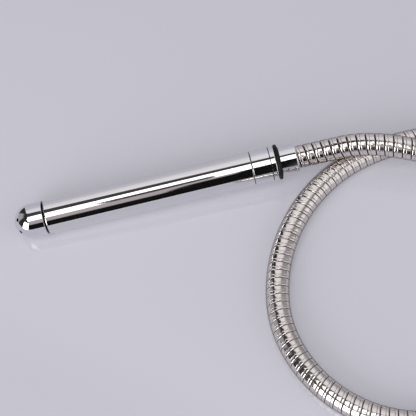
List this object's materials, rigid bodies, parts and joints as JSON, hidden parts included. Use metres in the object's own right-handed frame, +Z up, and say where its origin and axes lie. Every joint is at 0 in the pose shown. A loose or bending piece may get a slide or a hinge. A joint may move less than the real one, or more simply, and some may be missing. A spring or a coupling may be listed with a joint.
{
  "type": "handheld bath sprayer",
  "caption": "Slim chromed bath spray wand with a pierced domed tip, a black swivel ring and a looped steel shower hose ending in a tap nut.",
  "frame": {"origin": "centre of the wand's footprint, on the table that the wand and hose lie on", "axes": "+X from the spray tip towards the hose, +Z up from the table"},
  "size_m": [0.4984, 0.2051, 0.0296],
  "materials": {
    "chromed_brass": "bright chrome plate on turned brass",
    "polished_steel": "mirror polished stainless tube",
    "wound_strip": "bright interlocked steel strip, wound",
    "ring_rubber": "matte black",
    "seal_rubber": "black",
    "liner_rubber": "smooth dark grey",
    "bush_plastic": "natural white acetal",
    "spring_steel": "bright spring steel",
    "plain_brass": "turned, unplated"
  },
  "bodies": {
    "hose": {"swivel_spindle": "plain_brass", "spindle_seal_front": "seal_rubber", "spindle_seal_rear": "seal_rubber", "thrust_washer": "bush_plastic", "spindle_clip": "spring_steel", "bumper_ring": "ring_rubber", "hose_ferrule": "chromed_brass", "hose_casing": "wound_strip", "hose_liner": "liner_rubber", "hose_coil": "wound_strip", "end_ferrule": "chromed_brass", "end_nipple": "plain_brass", "nut_gasket": "seal_rubber"},
    "wand": {"nozzle_tip": "chromed_brass", "tip_seal": "seal_rubber", "wand_tube": "polished_steel", "adaptor_seal": "seal_rubber", "rear_adaptor": "chromed_brass", "swivel_bush": "bush_plastic"},
    "nut": {"tap_nut": "chromed_brass"}
  },
  "joints": [
    {"name": "wand_swivel", "type": "hinge", "parent": "hose", "child": "wand", "pos_m": [0.07666, 0, 0.01494], "axis": [0.9996, 0, 0.0268], "continuous": true},
    {"name": "nut_spin", "type": "hinge", "parent": "hose", "child": "nut", "pos_m": [0.24129, -0.17564, 0.013], "axis": [-0.9588, -0.2841, 0], "continuous": true}
  ]
}
